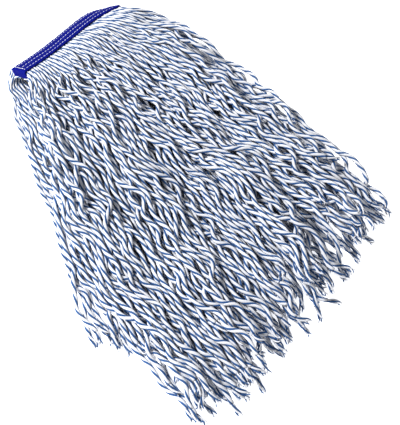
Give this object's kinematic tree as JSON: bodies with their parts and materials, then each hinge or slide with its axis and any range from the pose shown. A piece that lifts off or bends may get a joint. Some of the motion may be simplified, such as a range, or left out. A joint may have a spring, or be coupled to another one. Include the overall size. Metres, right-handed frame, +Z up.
{
  "type": "string mop head",
  "caption": "Wet mop head: narrow sewn fabric headband across the middle of long plied yarns, folded so that the yarns form an upper and a lower skirt of loose strands.",
  "frame": {"origin": "on the floor, under the middle of the bounding box of the lying mop", "axes": "+X along the headband, strands lie towards -Y, +Z up from the floor"},
  "size_m": [0.3566, 0.485, 0.0533],
  "materials": {
    "tape": "woven royal-blue tape, dull sheen",
    "thread": "white sewing thread",
    "yarn": "soft cotton yarn of two white and two blue plies"
  },
  "bodies": {
    "headband": {"headband_tape": "tape", "yarn_core": "yarn", "stitch_row_back": "thread", "stitch_row_middle": "thread", "stitch_row_front": "thread", "end_stitch_left": "thread", "end_stitch_right": "thread"},
    "upper_strands_1": {"upper_bundle_1": "yarn"},
    "upper_strands_2": {"upper_bundle_2": "yarn"},
    "upper_strands_3": {"upper_bundle_3": "yarn"},
    "upper_strands_4": {"upper_bundle_4": "yarn"},
    "upper_strands_5": {"upper_bundle_5": "yarn"},
    "upper_strands_6": {"upper_bundle_6": "yarn"},
    "upper_strands_7": {"upper_bundle_7": "yarn"},
    "upper_strands_8": {"upper_bundle_8": "yarn"},
    "lower_strands_1": {"lower_bundle_1": "yarn"},
    "lower_strands_2": {"lower_bundle_2": "yarn"},
    "lower_strands_3": {"lower_bundle_3": "yarn"},
    "lower_strands_4": {"lower_bundle_4": "yarn"},
    "lower_strands_5": {"lower_bundle_5": "yarn"},
    "lower_strands_6": {"lower_bundle_6": "yarn"},
    "lower_strands_7": {"lower_bundle_7": "yarn"},
    "lower_strands_8": {"lower_bundle_8": "yarn"}
  },
  "joints": [
    {"name": "upper_lift_1", "type": "hinge", "parent": "headband", "child": "upper_strands_1", "pos_m": [0.05382, 0.2018, 0.04676], "axis": [-1, 0, 0], "range_deg": [0, 100]},
    {"name": "upper_lift_2", "type": "hinge", "parent": "headband", "child": "upper_strands_2", "pos_m": [0.05382, 0.2018, 0.04676], "axis": [-1, 0, 0], "range_deg": [0, 100]},
    {"name": "upper_lift_3", "type": "hinge", "parent": "headband", "child": "upper_strands_3", "pos_m": [0.05382, 0.2018, 0.04676], "axis": [-1, 0, 0], "range_deg": [0, 100]},
    {"name": "upper_lift_4", "type": "hinge", "parent": "headband", "child": "upper_strands_4", "pos_m": [0.05382, 0.2018, 0.04676], "axis": [-1, 0, 0], "range_deg": [0, 100]},
    {"name": "upper_lift_5", "type": "hinge", "parent": "headband", "child": "upper_strands_5", "pos_m": [0.05382, 0.2018, 0.04676], "axis": [-1, 0, 0], "range_deg": [0, 100]},
    {"name": "upper_lift_6", "type": "hinge", "parent": "headband", "child": "upper_strands_6", "pos_m": [0.05382, 0.2018, 0.04676], "axis": [-1, 0, 0], "range_deg": [0, 100]},
    {"name": "upper_lift_7", "type": "hinge", "parent": "headband", "child": "upper_strands_7", "pos_m": [0.05382, 0.2018, 0.04676], "axis": [-1, 0, 0], "range_deg": [0, 100]},
    {"name": "upper_lift_8", "type": "hinge", "parent": "headband", "child": "upper_strands_8", "pos_m": [0.05382, 0.2018, 0.04676], "axis": [-1, 0, 0], "range_deg": [0, 100]},
    {"name": "lower_open_1", "type": "hinge", "parent": "headband", "child": "lower_strands_1", "pos_m": [0.05382, 0.23037, 0.03026], "axis": [1, 0, 0], "range_deg": [0, 100]},
    {"name": "lower_open_2", "type": "hinge", "parent": "headband", "child": "lower_strands_2", "pos_m": [0.05382, 0.23037, 0.03026], "axis": [1, 0, 0], "range_deg": [0, 100]},
    {"name": "lower_open_3", "type": "hinge", "parent": "headband", "child": "lower_strands_3", "pos_m": [0.05382, 0.23037, 0.03026], "axis": [1, 0, 0], "range_deg": [0, 100]},
    {"name": "lower_open_4", "type": "hinge", "parent": "headband", "child": "lower_strands_4", "pos_m": [0.05382, 0.23037, 0.03026], "axis": [1, 0, 0], "range_deg": [0, 100]},
    {"name": "lower_open_5", "type": "hinge", "parent": "headband", "child": "lower_strands_5", "pos_m": [0.05382, 0.23037, 0.03026], "axis": [1, 0, 0], "range_deg": [0, 100]},
    {"name": "lower_open_6", "type": "hinge", "parent": "headband", "child": "lower_strands_6", "pos_m": [0.05382, 0.23037, 0.03026], "axis": [1, 0, 0], "range_deg": [0, 100]},
    {"name": "lower_open_7", "type": "hinge", "parent": "headband", "child": "lower_strands_7", "pos_m": [0.05382, 0.23037, 0.03026], "axis": [1, 0, 0], "range_deg": [0, 100]},
    {"name": "lower_open_8", "type": "hinge", "parent": "headband", "child": "lower_strands_8", "pos_m": [0.05382, 0.23037, 0.03026], "axis": [1, 0, 0], "range_deg": [0, 100]}
  ]
}
